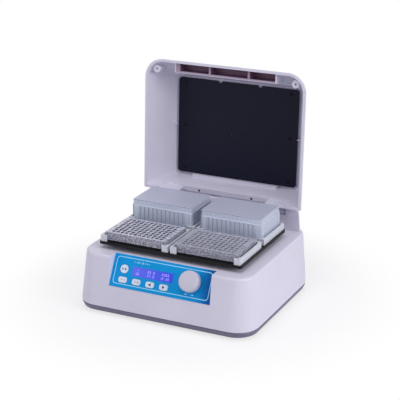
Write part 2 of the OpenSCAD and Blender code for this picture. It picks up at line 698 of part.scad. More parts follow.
// ---- control panel ----
module panel_carrier() color([0.80, 0.79, 0.86]) place() {
    difference() {
        union() {
            panel_opening(wall, 0.1, wall);
            // flange that bears on the back of the housing
            difference() {
                union() {
                    panel_opening(wall + 1.62, -3, 1.6);
                    panel_opening(wall + 1.62, 0.1, 2);
                }
                panel_opening(wall + 3, 2, 5);
            }
        }
        panel_cuts(9);
    }
}
module control_overlay() color([0.0, 0.51, 0.80]) place() {
    difference() {
        on_panel(0, panel_len / 2 - 0.2) translate([0, 0, 0.02])
            slab(panel_w - 0.6, panel_len - 1.2, 0.6, overlay_t);
        panel_cuts(3);
    }
}
module display_window() color([0.36, 0.32, 0.92, 0.8]) place()
    on_panel(lcd_x, lcd_s) translate([-lcd_w / 2, -lcd_h / 2, -wall]) cube([lcd_w, lcd_h, wall + overlay_t - 0.2]);
module display_module() color([0.1, 0.35, 0.2]) place()
    on_panel(lcd_x, lcd_s) translate([0, 0, -wall - 6.98]) slab(lcd_w + 10, lcd_h + 4, 1, 6.96);
module control_board() color([0.05, 0.32, 0.16]) place() {
    on_panel(-18, panel_len / 2) translate([0, 0, -wall - 8.6]) difference() {
        slab(160, panel_len - 14, 1.5, 1.6);
        translate([18 + knob_x, knob_s - panel_len / 2, -1]) slab(15, 15, 1, 4);
    }
    on_panel(key_x0 - 0.8, start_s) translate([-3, -3, -wall - 7.1]) cube([6, 6, 4.9 - key_travel - 0.2]);
    for (i = [0:3]) on_panel(key_x0 + i * key_pitch, key_s) translate([-3, -3, -wall - 7.1]) cube([6, 6, 4.9 - key_travel - 0.2]);
}
module key_body(shape_w) {
    // cap, flange behind the moulding, and the foot that meets its switch
    translate([0, 0, -wall - 0.6]) if (shape_w > 0) slab(key_w, key_h, 4, wall + 0.6 + overlay_t + key_proud);
    else cylinder(d = start_d, h = wall + 0.6 + overlay_t + key_proud);
    translate([0, 0, -wall - 2.2]) if (shape_w > 0) slab(key_w + 2.4, key_h + 2.4, 5, 1.6);
    else cylinder(d = start_d + 2.4, h = 1.6);
}
module start_key() color([0.84, 0.87, 0.93]) place() on_panel(key_x0 - 0.8, start_s) key_body(0);
module mode_key() color([0.84, 0.87, 0.93]) place() on_panel(key_x0, key_s) key_body(1);
module set_key() color([0.84, 0.87, 0.93]) place() on_panel(key_x0 + key_pitch, key_s) key_body(1);
module left_key() color([0.84, 0.87, 0.93]) place() on_panel(key_x0 + 2 * key_pitch, key_s) key_body(1);
module right_key() color([0.84, 0.87, 0.93]) place() on_panel(key_x0 + 3 * key_pitch, key_s) key_body(1);
module encoder_body() color([0.3, 0.31, 0.33]) place() on_panel(knob_x, knob_s) difference() {
    union() {
        translate([0, 0, -wall - 8.6]) slab(14, 14, 1, 8.6);
        translate([0, 0, -wall - 0.5]) cylinder(d = 9.8, h = wall + overlay_t + 1.2);
    }
    translate([0, 0, -wall - 7.6]) cylinder(d = 7 + 2 * run_gap, h = 20);
}
module encoder_plunger() color([0.6, 0.6, 0.62]) place() on_panel(knob_x, knob_s) difference() {
    translate([0, 0, -wall - 6.6]) cylinder(d = 7, h = 7.6);
    translate([0, 0, -wall - 8]) cylinder(d = 5 + 2 * run_gap, h = 20);
}
module encoder_shaft() color([0.7, 0.71, 0.74]) place() on_panel(knob_x, knob_s) {
    translate([0, 0, -wall - 6.4]) cylinder(d = 5, h = wall + 6.4 + knob_h - 2.8);
}
module control_knob() color([0.80, 0.80, 0.86]) place() on_panel(knob_x, knob_s)
    translate([0, 0, overlay_t + knob_travel + 0.6]) difference() {
        rotate_extrude($fn = 96) polygon([[0, 0], [knob_d / 2 - 0.8, 0], [knob_d / 2, 0.8],
            [knob_d / 2 - 0.5, knob_h - 2.4], [knob_d / 2 - 0.9, knob_h - 1.2],
            [knob_d / 2 - 1.9, knob_h - 0.3], [knob_d / 2 - 3, knob_h], [0, knob_h]]);
        translate([0, 0, -1]) cylinder(d = 12, h = 4.4);
        translate([0, 0, -1]) cylinder(d = 5.04, h = knob_h - 2.4 - overlay_t - knob_travel);
    }

// ---- rear connections and power ----
module mains_inlet() color([0.09, 0.09, 0.1]) place() translate([inlet_x, base_d, rear_z]) difference() {
    union() {
        translate([0, 2.6, 0]) rotate([90, 0, 0]) slab(50, 27, 3, 2.6);
        translate([-14, -24, -10]) cube([28, 25, 20]);
    }
    translate([0, 3.6, 0]) rotate([90, 0, 0]) linear_extrude(17) polygon([[-12, -8], [12, -8], [12, 4],
        [8, 8], [-8, 8], [-12, 4]]);
    for (x = [-20, 20]) translate([x, 3.6, 0]) rotate([90, 0, 0]) cylinder(d = 3.4, h = 5, $fn = 24);
}
module switch_bezel() color([0.1, 0.1, 0.11]) place() translate([switch_x, base_d, rear_z]) difference() {
    union() {
        translate([0, 1.8, 0]) rotate([90, 0, 0]) slab(20, 26, 1.5, 1.8);
        translate([-7.5, -16, -10.5]) cube([15, 17, 21]);
    }
    translate([-6, -12, -9.4]) cube([12, 20, 18.8]);
    translate([-8, -2, 0]) rotate([0, 90, 0]) cylinder(d = 3 + 2 * run_gap, h = 16);
}
module power_rocker() color([0.16, 0.16, 0.17]) place() translate([switch_x, base_d - 2, rear_z]) {
    rotate([-6, 0, 0]) difference() {
        intersection() {
            translate([-5.6, -7, -8.4]) cube([11.2, 14, 16.8]);
            translate([-6, -5, 0]) rotate([0, 90, 0]) cylinder(r = 11, h = 12);
        }
        translate([-6, 17, 0]) rotate([0, 90, 0]) cylinder(r = 12.6, h = 12);
    }
    translate([-7.4, 0, 0]) rotate([0, 90, 0]) cylinder(d = 3, h = 14.8);
}
module power_supply() color([0.75, 0.76, 0.78]) place() {
    translate([-112, base_d - 75, wall + 5]) {
        difference() {
            cube([98, 62, 30]);
            for (i = [0:7]) translate([14 + i * 9.5, 8, 26]) cube([4, 46, 6]);
        }
    }
    for (x = [8, 90]) for (y = [8, 54]) translate([-112 + x, base_d - 75 + y, wall])
        cylinder(d = 7, h = 5);
}

base_housing();
bottom_tray();
rubber_feet();
tray_screws();
chassis_plate();
chassis_posts();
bearing_blocks();
drive_motor();
motor_standoffs();
power_supply();
panel_carrier();
control_board();
display_module();
control_overlay();
display_window();
encoder_body();
mains_inlet();
switch_bezel();
hinge_housing();
hinge_pins();
power_rocker();
lid_shell();
lid_liner();
lid_insulation();
lid_heater_plate();
heater_screws();
corner_screws();
drive_crank();
counterweight();
platform_plate();
nest_rails();
nest_pads();
rail_screws();
idler_front_left();
idler_front_right();
idler_rear_left();
idler_rear_right();
deep_plate_left();
deep_mat_left();
deep_plate_right();
deep_mat_right();
well_plate_left();
well_plate_right();
plate_cover();
encoder_plunger();
encoder_shaft();
control_knob();
start_key();
mode_key();
set_key();
left_key();
right_key();
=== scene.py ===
import json
import math

import bmesh
import bpy
from mathutils import Matrix, Vector


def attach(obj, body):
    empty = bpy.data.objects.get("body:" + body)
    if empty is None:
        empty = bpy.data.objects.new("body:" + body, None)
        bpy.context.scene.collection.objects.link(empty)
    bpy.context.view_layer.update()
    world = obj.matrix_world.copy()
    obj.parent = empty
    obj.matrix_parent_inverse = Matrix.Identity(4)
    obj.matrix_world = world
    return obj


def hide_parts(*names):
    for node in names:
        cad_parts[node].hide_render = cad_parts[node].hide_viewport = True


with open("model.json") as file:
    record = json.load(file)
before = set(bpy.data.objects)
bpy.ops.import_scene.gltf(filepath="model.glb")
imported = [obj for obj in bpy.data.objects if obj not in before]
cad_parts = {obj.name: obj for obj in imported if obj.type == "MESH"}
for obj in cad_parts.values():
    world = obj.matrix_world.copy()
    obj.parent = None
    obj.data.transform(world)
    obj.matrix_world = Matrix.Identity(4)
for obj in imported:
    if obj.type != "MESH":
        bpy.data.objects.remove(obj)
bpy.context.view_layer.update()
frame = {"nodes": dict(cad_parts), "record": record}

# ---------------------------------------------------------------------------
# The view and the room
# A white bench under soft light from both sides. The camera stands a little
# to the right of the instrument's front and looks slightly down on it.
# ---------------------------------------------------------------------------
scene = bpy.context.scene
scene.view_settings.view_transform = "Standard"

MIDDLE_Y = 175.944           # mm from the base's front edge to the part's origin
FOOT = 2.5                   # mm of rubber foot below the tray


def at(x, y, z):
    """A point in mm, from the middle, the base's front edge and the tray's underside."""
    return Vector((x, y - MIDDLE_Y, z + FOOT)) / 1000


def linear(hex_colour):
    """An sRGB hex colour as linear RGBA."""
    channels = [int(hex_colour[i:i + 2], 16) / 255 for i in (1, 3, 5)]
    return tuple(c / 12.92 if c <= 0.04045 else ((c + 0.055) / 1.055) ** 2.4
                 for c in channels) + (1.0,)


def add(tree, kind, links=None, values=None, **settings):
    """Adds a node with its settings, plain input values and incoming links."""
    n = tree.nodes.new(kind)
    for key, value in settings.items():
        setattr(n, key, value)
    for key, value in (values or {}).items():
        n.inputs[key].default_value = value
    for key, source in (links or {}).items():
        tree.links.new(source, n.inputs[key])
    return n


def fresh(name):
    """A new material with an empty tree."""
    m = bpy.data.materials.new(name)
    m.use_nodes = True
    m.node_tree.nodes.clear()
    return m, m.node_tree


# the camera's place, its turn round from the front, up and about its axis, and its lens in mm
EYE = at(1021.47, -1863.706, 1011.28)
AZIMUTH, ELEVATION, ROLL = (math.radians(a) for a in (26.661, 19.974, -0.636))
FOCAL_LENGTH, FILM_WIDTH = 117.0, 36.0
back = Vector((math.sin(AZIMUTH) * math.cos(ELEVATION),
               -math.cos(AZIMUTH) * math.cos(ELEVATION), math.sin(ELEVATION)))
side = Vector((math.cos(AZIMUTH), math.sin(AZIMUTH), 0))
over = back.cross(side)
right = math.cos(ROLL) * side + math.sin(ROLL) * over
up = -math.sin(ROLL) * side + math.cos(ROLL) * over
camera = bpy.data.cameras.new("camera")
camera.lens, camera.sensor_width = FOCAL_LENGTH, FILM_WIDTH
camera.clip_start, camera.clip_end = 0.1, 60
viewer = bpy.data.objects.new("camera", camera)
scene.collection.objects.link(viewer)
viewer.matrix_world = Matrix.Translation(EYE) @ Matrix((right, up, back)).transposed().to_4x4()
scene.camera = viewer


def seen_directly(tree):
    """1 where a ray comes from the camera, or through gloss or glass, and 0 where it lights the
    object."""
    path = add(tree, "ShaderNodeLightPath")
    seen = path.outputs["Is Camera Ray"]
    for ray in ("Is Glossy Ray", "Is Transmission Ray"):
        seen = add(tree, "ShaderNodeMath", {0: seen, 1: path.outputs[ray]},
                   operation="MAXIMUM").outputs[0]
    return seen


AMBIENT = 0.41               # the room's own light, where 1 is white
world = bpy.data.worlds.new("studio")
scene.world = world
world.use_nodes = True
tree = world.node_tree
tree.nodes.clear()
ambient = add(tree, "ShaderNodeBackground", values={"Color": linear("#E6E4F2"), "Strength": AMBIENT})
backdrop = add(tree, "ShaderNodeBackground", values={"Color": linear("#FFFFFF"), "Strength": 1.0})
mixed = add(tree, "ShaderNodeMixShader",
            {0: seen_directly(tree), 1: ambient.outputs[0], 2: backdrop.outputs[0]})
add(tree, "ShaderNodeOutputWorld", {"Surface": mixed.outputs[0]})


def soft_light(name, place, aim, size, power):
    """A square lamp of size metres and power watts, at place and turned to aim, in metres."""
    lamp = bpy.data.lights.new(name, "AREA")
    lamp.shape, lamp.size, lamp.energy = "SQUARE", size, power
    o = bpy.data.objects.new(name, lamp)
    scene.collection.objects.link(o)
    o.location = place
    o.rotation_euler = (Vector(aim) - Vector(place)).to_track_quat("-Z", "Y").to_euler()


soft_light("right_softbox", place=(2.3, -0.5, 1.2), aim=(0, 0, 0.15), size=1.3, power=29)
soft_light("top_softbox", place=(0.2, -0.5, 2.4), aim=(0, 0.05, 0.1), size=1.6, power=19)
soft_light("left_softbox", place=(-2.0, -1.9, 1.2), aim=(0, 0, 0.2), size=1.4, power=12)

BENCH = 9                    # m from the middle to the bench's edges, far past the view
SHADED, PLAIN = 0.22, 0.42   # m from the middle: the shadow's ground, and where it ends
NEAR_WHITE = 0.70            # the share of plain white that lies over the shadow's ground
floor_mesh = bpy.data.meshes.new("floor")
floor_mesh.from_pydata([(-BENCH, -BENCH, 0), (BENCH, -BENCH, 0), (BENCH, BENCH, 0), (-BENCH, BENCH, 0)],
                       [], [(0, 1, 2, 3)])
floor = bpy.data.objects.new("floor", floor_mesh)
scene.collection.objects.link(floor)
# white bench laminate: lit near the object so that it takes the shadow, pure white further off
paper, tree = fresh("white bench laminate")
spot = add(tree, "ShaderNodeTexCoord").outputs["Object"]
far = add(tree, "ShaderNodeVectorMath", {0: spot}, operation="LENGTH")
fade = add(tree, "ShaderNodeMapRange", {"Value": far.outputs["Value"]},
           {"From Min": SHADED, "From Max": PLAIN, "To Min": NEAR_WHITE, "To Max": 1.0},
           interpolation_type="SMOOTHSTEP")
lit = add(tree, "ShaderNodeBsdfDiffuse", values={"Color": linear("#F4F4F6")})
white = add(tree, "ShaderNodeEmission", values={"Color": linear("#FFFFFF"), "Strength": 1.0})
glow = add(tree, "ShaderNodeMixShader", {0: fade.outputs[0], 1: lit.outputs[0], 2: white.outputs[0]})
shown = add(tree, "ShaderNodeMixShader",
            {0: seen_directly(tree), 1: lit.outputs[0], 2: glow.outputs[0]})
add(tree, "ShaderNodeOutputMaterial", {"Surface": shown.outputs[0]})
floor_mesh.materials.append(paper)

# ---------------------------------------------------------------------------
# Bottom tray
# A shallow injection-moulded ABS tray in dark grey that closes the housing
# from below. Its skin has the fine spark-eroded grain of the mould's cavity.
# ---------------------------------------------------------------------------
CLOUDS = 9.0                 # broad clouds of colour to a metre of a moulding
MERGED = 0.00002             # m: points of a mesh that are nearer than this become one


def moulded(name, colour, rough, grain=0.6, depth=0.10, specular=0.5, variation=0.025, dimmed=None):
    """Moulded plastic. The colour drifts by variation over a hand's width, and the grain, in mm,
    breaks the gloss; it is drawn several times coarser than a real one, so that it shows. dimmed
    is a function that adds a darker place and gives (factor, colour)."""
    m, t = fresh(name)
    place = add(t, "ShaderNodeTexCoord").outputs["Object"]
    skin = add(t, "ShaderNodeTexNoise", {"Vector": place},
               {"Scale": 1000 / grain / 2, "Detail": 3.0, "Roughness": 0.55})
    cloud = add(t, "ShaderNodeTexNoise", {"Vector": place}, {"Scale": CLOUDS, "Detail": 2.0})
    ramp = add(t, "ShaderNodeValToRGB", {"Fac": cloud.outputs["Fac"]})
    for end, position, drift in ((0, 0.35, 1 - variation), (1, 0.65, 1 + variation)):
        ramp.color_ramp.elements[end].position = position
        ramp.color_ramp.elements[end].color = [min(1.0, c * drift) for c in linear(colour)[:3]] + [1.0]
    tint = ramp.outputs["Color"]
    if dimmed:
        factor, shade = dimmed(t, place)
        tint = add(t, "ShaderNodeMix", {0: factor, 6: tint}, {7: linear(shade)},
                   data_type="RGBA").outputs[2]
    gloss = add(t, "ShaderNodeMapRange", {"Value": skin.outputs["Fac"]},
                {"From Min": 0.3, "From Max": 0.7, "To Min": rough - 0.05, "To Max": rough + 0.05})
    bump = add(t, "ShaderNodeBump", {"Height": skin.outputs["Fac"]},
               {"Strength": depth, "Distance": 0.0002})
    shader = add(t, "ShaderNodeBsdfPrincipled",
                 {"Base Color": tint, "Roughness": gloss.outputs[0], "Normal": bump.outputs["Normal"]},
                 {"IOR": 1.53, "Specular IOR Level": specular})
    add(t, "ShaderNodeOutputMaterial", {"Surface": shader.outputs[0]})
    return m


def made(name, bm, material, edge, smooth):
    """Makes a mesh into an object: smooth where it turns by less than smooth degrees, and with its
    edges broken by edge mm."""
    mesh = bpy.data.meshes.new(name)
    bm.to_mesh(mesh)
    bm.free()
    mesh.materials.append(material)
    for p in mesh.polygons:
        p.material_index = 0
        p.use_smooth = True
    mesh.set_sharp_from_angle(angle=math.radians(smooth))
    o = bpy.data.objects.new(name, mesh)
    scene.collection.objects.link(o)
    if edge:
        b = o.modifiers.new("broken edges", "BEVEL")
        b.width, b.segments, b.limit_method = edge / 1000, 2, "ANGLE"
        b.angle_limit = math.radians(32)
        b.use_clamp_overlap = True
        b.harden_normals = True
    return o


def finished(o, body, *nodes):
    """Puts a finished piece on its body, in place of the CAD nodes that it stands for."""
    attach(o, body)
    if nodes:
        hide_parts(*nodes)


BODY_OF = {n: b for b, members in frame["record"]["behaviour"]["bodies"].items() for n in members}


def dressed(node, material, edge=0.35, smooth=28.0):
    """A finished skin over a CAD node, whose loose triangles are merged into whole faces."""
    bm = bmesh.new()
    bm.from_mesh(frame["nodes"][node].data)
    bmesh.ops.remove_doubles(bm, verts=bm.verts, dist=MERGED)
    bmesh.ops.dissolve_degenerate(bm, edges=bm.edges, dist=MERGED)
    bmesh.ops.dissolve_limit(bm, angle_limit=math.radians(0.5), verts=bm.verts, edges=bm.edges)
    finished(made(node + "_skin", bm, material, edge, smooth), BODY_OF[node], node)


# spark-eroded ABS: matt, with a soft highlight along the rounded lower edge
tray_abs = moulded("dark grey ABS, spark-eroded grain", "#67647C", 0.48, grain=0.8)
dressed("bottom_tray", tray_abs)

# ---------------------------------------------------------------------------
# Feet and tray screws
# Four moulded rubber feet under the tray. A zinc-plated socket screw in each
# holds the foot, the tray and the housing together.
# ---------------------------------------------------------------------------
# talc-dulled rubber: nearly black and without gloss
foot_rubber = moulded("black moulded rubber", "#242427", 0.78, grain=0.5, depth=0.25, specular=0.3)
dressed("rubber_feet", foot_rubber, edge=0.5)

STAINS = 60.0                # small clouds to a metre of bare metal, about 17 mm each


def machined(name, colour, rough, line=0.15, along=(1.0, 1.0, 12.0), wear=0.12):
    """Metal with tool lines. line is their spacing in mm, and along stretches them on X, Y and Z."""
    m, t = fresh(name)
    place = add(t, "ShaderNodeTexCoord").outputs["Object"]
    lay = add(t, "ShaderNodeMapping", {"Vector": place}, {"Scale": along})
    lines = add(t, "ShaderNodeTexNoise", {"Vector": lay.outputs[0]},
                {"Scale": 1000 / line / 8, "Detail": 4.0})
    stain = add(t, "ShaderNodeTexNoise", {"Vector": place}, {"Scale": STAINS, "Detail": 3.0})
    ramp = add(t, "ShaderNodeValToRGB", {"Fac": stain.outputs["Fac"]})
    for end, position, bright in ((0, 0.3, 1 - wear), (1, 0.7, 1.0)):
        ramp.color_ramp.elements[end].position = position
        ramp.color_ramp.elements[end].color = [c * bright for c in linear(colour)[:3]] + [1.0]
    gloss = add(t, "ShaderNodeMapRange", {"Value": lines.outputs["Fac"]},
                {"From Min": 0.3, "From Max": 0.7, "To Min": max(0.05, rough - 0.1),
                 "To Max": rough + 0.1})
    bump = add(t, "ShaderNodeBump", {"Height": lines.outputs["Fac"]},
               {"Strength": 0.15, "Distance": 0.00005})
    shader = add(t, "ShaderNodeBsdfPrincipled",
                 {"Base Color": ramp.outputs["Color"], "Roughness": gloss.outputs[0],
                  "Normal": bump.outputs["Normal"]}, {"Metallic": 1.0})
    add(t, "ShaderNodeOutputMaterial", {"Surface": shader.outputs[0]})
    return m


def paint(material, *nodes):
    """Gives CAD nodes, which stay as they are, their material."""
    for node in nodes:
        data = frame["nodes"][node].data
        data.materials.clear()
        data.materials.append(material)


# bright zinc with a faint cloudy passivation
zinc = machined("zinc-plated steel, turned heads", "#B7BAC2", 0.32)
paint(zinc, "tray_screws", "rail_screws")

# ---------------------------------------------------------------------------
# Chassis
# A folded steel plate on four turned posts carries five bearing housings.
# The drive motor hangs below it on steel standoffs.
# ---------------------------------------------------------------------------
# cold-rolled sheet: long straight rolling lines
rolled = machined("cold-rolled steel sheet", "#9EA2AA", 0.42, line=0.3, along=(1, 14, 1))
paint(rolled, "chassis_plate")
# turned bar: bright, with fine rings about its axis
turned = machined("turned steel", "#B9BBC1", 0.30, line=0.2, along=(1, 1, 10))
paint(turned, "chassis_posts", "motor_standoffs")
# die casting: grey and cloudy, duller than cut metal
cast = machined("die-cast aluminium, machined faces", "#9A9DA4", 0.5, line=0.6, along=(1, 1, 1),
                wear=0.2)
dressed("bearing_blocks", cast, edge=0.3)
# baked enamel over a steel can: a little orange peel
motor_enamel = moulded("dark baked enamel", "#46484E", 0.4, grain=1.6, depth=0.2)
dressed("drive_motor", motor_enamel, edge=0.4)

# ---------------------------------------------------------------------------
# Power supply, mains inlet and switch
# A folded aluminium case inside, and at the rear a glass-filled nylon inlet
# with three plated blades beside a rocker switch in its bezel.
# ---------------------------------------------------------------------------
# mill-finish sheet: pale, with straight faint lines
folded = machined("folded aluminium sheet", "#C3C6CB", 0.38, line=0.25, along=(12, 1, 1))
paint(folded, "power_supply")
# glass-filled nylon: black with a dry, slightly mottled skin
nylon = moulded("black glass-filled nylon", "#1B1B1D", 0.5, grain=0.9, depth=0.2)
dressed("mains_inlet", nylon, edge=0.3)
dressed("switch_bezel", nylon, edge=0.3)


def block(bm, centre, size):
    """A box of size mm added to a mesh being made."""
    box = bmesh.ops.create_cube(bm, size=1.0)["verts"]
    bmesh.ops.scale(bm, vec=Vector(size) / 1000, verts=box)
    bmesh.ops.translate(bm, vec=centre, verts=box)


def piece(name, bm, material, edge=0.0, smooth=30.0):
    """Makes a mesh into an object with its faces turned outward."""
    bmesh.ops.recalc_face_normals(bm, faces=bm.faces)
    return made(name, bm, material, edge, smooth)


INLET_X, INLET_FACE, INLET_Z = -95.0, 298.0, 50.0   # mm: the inlet's middle, on the rear wall
BLADE, BLADE_IN = (2.0, 14.0, 4.0), 6.2             # mm: a blade's size, and its middle's depth
blades = bmesh.new()
for x, z in ((-7, -1.5), (7, -1.5), (0, 3.0)):
    block(blades, at(INLET_X + x, INLET_FACE - BLADE_IN, INLET_Z + z), BLADE)
# bright nickel over brass: a warm metal that shows at the socket's bottom
nickel = machined("nickel-plated brass", "#C9C4B6", 0.22)
finished(piece("inlet_blades", blades, nickel, edge=0.3), "base")

dressed("power_rocker", nylon, edge=0.4)
SWITCH_X, SWITCH_Y, SWITCH_Z = -56.0, 296.0, 50.0   # mm: the rocker's pin
BAR, DOT = (0.9, 0.5, 3.0), (0.5, 0.5, 0.5)         # mm: the bar, and one dot of the ring
RING, RING_DOTS = 1.5, 20                           # the ring's radius in mm, and its dots
# the bar and the ring moulded white into the rocker's two ends
marks = bmesh.new()
block(marks, at(SWITCH_X, SWITCH_Y + 6.15, SWITCH_Z + 5.4), BAR)
for i in range(RING_DOTS):
    a = math.tau * i / RING_DOTS
    block(marks, at(SWITCH_X + RING * math.cos(a), SWITCH_Y + 5.2,
                    SWITCH_Z - 5.6 + RING * math.sin(a)), DOT)
# white filling: plain and a little dull
switch_white = moulded("white switch filling", "#E8E8EA", 0.4)
finished(piece("rocker_marks", marks, switch_white), "rocker")

# ---------------------------------------------------------------------------
# Upper housing and hinge housing
# Pale lavender-grey ABS shells, injection moulded with drafted sides, large
# corner radii and a fine satin grain. The hinge housing screws on behind.
# ---------------------------------------------------------------------------
# satin ABS: wide soft highlights on the pale drafted walls
housing_abs = moulded("pale lavender-grey ABS, satin grain", "#D5D2E2", 0.44, grain=0.7, depth=0.08)
dressed("base_housing", housing_abs, edge=0.5)
dressed("hinge_housing", housing_abs, edge=0.6)
paint(housing_abs, "panel_carrier")

# ---------------------------------------------------------------------------
# Control panel
# A blue polyester overlay, printed on its back, over a sloping carrier. A
# violet-lit display shows set and actual values in three columns.
# ---------------------------------------------------------------------------
SEAM, HOUSING_TOP, DRAFT = 14.4, 110.5, 14.8        # mm: the front wall's foot, top and slope in
PANEL_X, PANEL_LOW, LEAN = -3.0, 56.0, math.radians(29.3)
PANEL_Y = (PANEL_LOW - SEAM) * DRAFT / (HOUSING_TOP - SEAM)
OVERLAY = 0.82               # mm from the panel plane to the overlay's face
INK = 0.03                   # mm that printed ink stands up


def on_panel(x, s, h):
    """A point x mm from the panel's middle, s mm up its slope and h mm off its plane."""
    return at(PANEL_X + x, PANEL_Y + s * math.sin(LEAN) - h * math.cos(LEAN),
              PANEL_LOW + s * math.cos(LEAN) + h * math.sin(LEAN))


def rectangle(x0, s0, x1, s1):
    """The corners of a rectangle as (x, s) pairs."""
    return [(x0, s0), (x1, s0), (x1, s1), (x0, s1)]


def rounded(x0, s0, x1, s1, r, steps=8):
    """The outline of a rectangle with corners of radius r as (x, s) pairs."""
    outline = []
    for quarter, (cx, cs) in enumerate(
            ((x1 - r, s1 - r), (x0 + r, s1 - r), (x0 + r, s0 + r), (x1 - r, s0 + r))):
        for i in range(steps + 1):
            a = math.radians(90 * (quarter + i / steps))
            outline.append((cx + r * math.cos(a), cs + r * math.sin(a)))
    return outline


def printed_ring(bm, outer, inner, h):
    """Ink on a face h mm off the panel, between two outlines with the same count of points."""
    n = len(outer)
    rows = [[bm.verts.new(on_panel(x, s, h + t)) for x, s in line]
            for line, t in ((outer, 0), (outer, INK), (inner, INK), (inner, 0))]
    for i in range(n):
        for k in range(4):
            a, b = rows[k], rows[(k + 1) % 4]
            bm.faces.new((a[i], a[(i + 1) % n], b[(i + 1) % n], b[i]))


def printed_patch(bm, outline, h):
    """A closed patch of ink on a face h mm off the panel."""
    low = [bm.verts.new(on_panel(x, s, h)) for x, s in outline]
    top = [bm.verts.new(on_panel(x, s, h + INK)) for x, s in outline]
    n = len(outline)
    bm.faces.new(top)
    bm.faces.new(list(reversed(low)))
    for i in range(n):
        bm.faces.new((low[i], low[(i + 1) % n], top[(i + 1) % n], top[i]))


def shaded_end(t, place):
    """Painted shade: the blue runs from bright to a deep blue at the right end, behind the knob."""
    starts, full = 60, 98        # mm right of the middle
    split = add(t, "ShaderNodeSeparateXYZ", {0: place})
    f = add(t, "ShaderNodeMapRange", {"Value": split.outputs["X"]},
            {"From Min": starts / 1000, "From Max": full / 1000, "To Min": 0.0, "To Max": 0.8},
            interpolation_type="SMOOTHSTEP")
    # the painted shade's deep blue
    return f.outputs[0], "#002F86"


# back-printed polyester: a deep blue under a thin satin film, with painted shade at the right end
overlay_film = moulded("blue back-printed polyester film", "#0094D8", 0.42, grain=0.3, depth=0.03,
                       specular=0.12, variation=0.04, dimmed=shaded_end)
dressed("control_overlay", overlay_film, edge=0.15)
# screen ink: a flat pale blue without gloss
line_ink = moulded("pale blue screen ink", "#9BDDFB", 0.5, specular=0.3)
ink = bmesh.new()
printed_ring(ink, rounded(-96.8, 6.2, 96.8, 57.3, r=5.8), rounded(-95.4, 7.6, 95.4, 55.9, r=4.4),
             OVERLAY)
finished(piece("overlay_outline", ink, line_ink), "base")

# the bars of each figure, and each bar's middle and direction in a figure one wide and one tall
SEGMENTS = {"0": "abcdef", "1": "bc", "2": "abged", "3": "abgcd", "4": "fgbc", "5": "afgcd",
            "7": "abc", "-": "g"}
BARS = {"a": (0.5, 1.0, 1, 0), "g": (0.5, 0.5, 1, 0), "d": (0.5, 0.0, 1, 0), "f": (0.0, 0.75, 0, 1),
        "b": (1.0, 0.75, 0, 1), "e": (0.0, 0.25, 0, 1), "c": (1.0, 0.25, 0, 1)}
DOTS = {".": (0.0,), ":": (0.25, 0.65)}


def figure(bm, char, x, s, wide, tall, stroke, h):
    """One seven-bar figure, a point or a colon, with its lower left corner at x, s."""
    for bar in SEGMENTS.get(char, ""):
        bx, bs, flat, upright = BARS[bar]
        w = (wide - stroke) * flat / 2 + stroke / 2
        v = (tall / 2 - stroke) * upright / 2 + stroke / 2
        cx, cs = x + stroke / 2 + bx * (wide - stroke), s + stroke / 2 + bs * (tall - stroke)
        printed_patch(bm, rectangle(cx - w, cs - v, cx + w, cs + v), h)
    for height in DOTS.get(char, ()):
        c = s + stroke / 2 + height * tall
        printed_patch(bm, rectangle(x, c - stroke / 2, x + stroke, c + stroke / 2), h)


def line_of_figures(bm, text, x, s, pitch, wide, tall, stroke, h):
    """Figures from x, s to the right, pitch mm apart."""
    for i, char in enumerate(text):
        figure(bm, char, x + i * pitch, s, wide, tall, stroke, h)


# plain figures 1 to 4, one for each plate nest, at the upper left, and turning arrows below the knob
KNOB_X = 58.5
ink = bmesh.new()
line_of_figures(ink, "1-2-3-4-", -62.5, 48.9, pitch=4.3, wide=3.0, tall=3.8, stroke=0.85, h=OVERLAY)
for turn in (-1, 1):
    x = KNOB_X + turn * 7.5
    head = [(x - turn * 1.6, 9.6), (x + turn * 2.2, 11.4), (x - turn * 1.6, 13.2)]
    printed_patch(ink, head[::turn], OVERLAY)
    x0, x1 = sorted((x - turn * 4.6, x - turn * 1.2))
    printed_patch(ink, rectangle(x0, 11.0, x1, 11.8), OVERLAY)
finished(piece("overlay_figures", ink, line_ink), "base")

# back-lit acrylic: an even violet glow, brighter at the left, with a faint mesh of dots, which is
# drawn at 1.1 mm, coarser than the real one, so that it shows
GLOW_LEFT, GLOW_RIGHT, DOTS_PER_METRE = -66, 20, 900.0
window_acrylic, tree = fresh("violet back-lit acrylic")
place = add(tree, "ShaderNodeTexCoord").outputs["Object"]
split = add(tree, "ShaderNodeSeparateXYZ", {0: place})
across = add(tree, "ShaderNodeMapRange", {"Value": split.outputs["X"]},
             {"From Min": GLOW_LEFT / 1000, "From Max": GLOW_RIGHT / 1000})
blend = add(tree, "ShaderNodeMix", {0: across.outputs[0]},
            {6: linear("#4F5CC8"), 7: linear("#3241C2")}, data_type="RGBA")
dots = add(tree, "ShaderNodeTexVoronoi", {"Vector": place},
           {"Scale": DOTS_PER_METRE, "Randomness": 0.0})
mesh_of_dots = add(tree, "ShaderNodeMapRange", {"Value": dots.outputs["Distance"]},
                   {"From Min": 0.2, "From Max": 0.7, "To Min": 0.55, "To Max": 0.42})
pane = add(tree, "ShaderNodeBsdfPrincipled",
           {"Base Color": blend.outputs[2], "Emission Color": blend.outputs[2],
            "Emission Strength": mesh_of_dots.outputs[0]},
           {"Roughness": 0.22, "IOR": 1.49, "Specular IOR Level": 0.15})
add(tree, "ShaderNodeOutputMaterial", {"Surface": pane.outputs[0]})
dressed("display_window", window_acrylic, edge=0.15)

